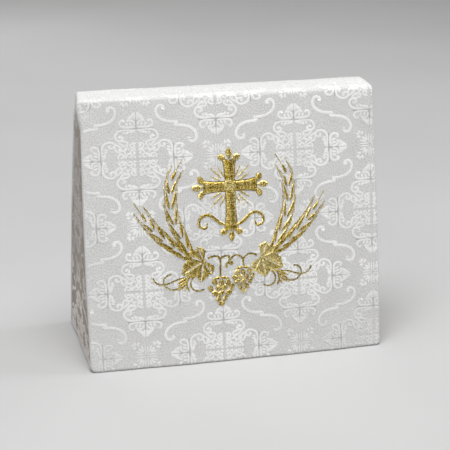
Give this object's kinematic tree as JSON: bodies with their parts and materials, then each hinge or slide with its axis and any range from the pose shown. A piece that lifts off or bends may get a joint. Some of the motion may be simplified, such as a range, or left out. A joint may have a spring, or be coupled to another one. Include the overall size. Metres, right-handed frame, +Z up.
{
  "type": "burse",
  "caption": "Stiff cloth burse standing open like a tent: front and back panels joined by a flat spine, tapering side gussets, open at the foot to hold a folded altar linen.",
  "frame": {"origin": "on the ground, under the middle of the base", "axes": "+Z up, -Y out of the front panel, +X to the right of someone facing the front panel, along the spine"},
  "size_m": [0.2304, 0.1054, 0.2024],
  "materials": {
    "damask": "white damask with a satin figure on a matt ground",
    "gusset_damask": "white damask with a satin figure on a matt ground",
    "gold_thread": "gold metallic embroidery thread in satin stitch"
  },
  "bodies": {
    "root": {"cover": "damask", "gusset_left": "gusset_damask", "gusset_right": "gusset_damask"}
  },
  "joints": []
}
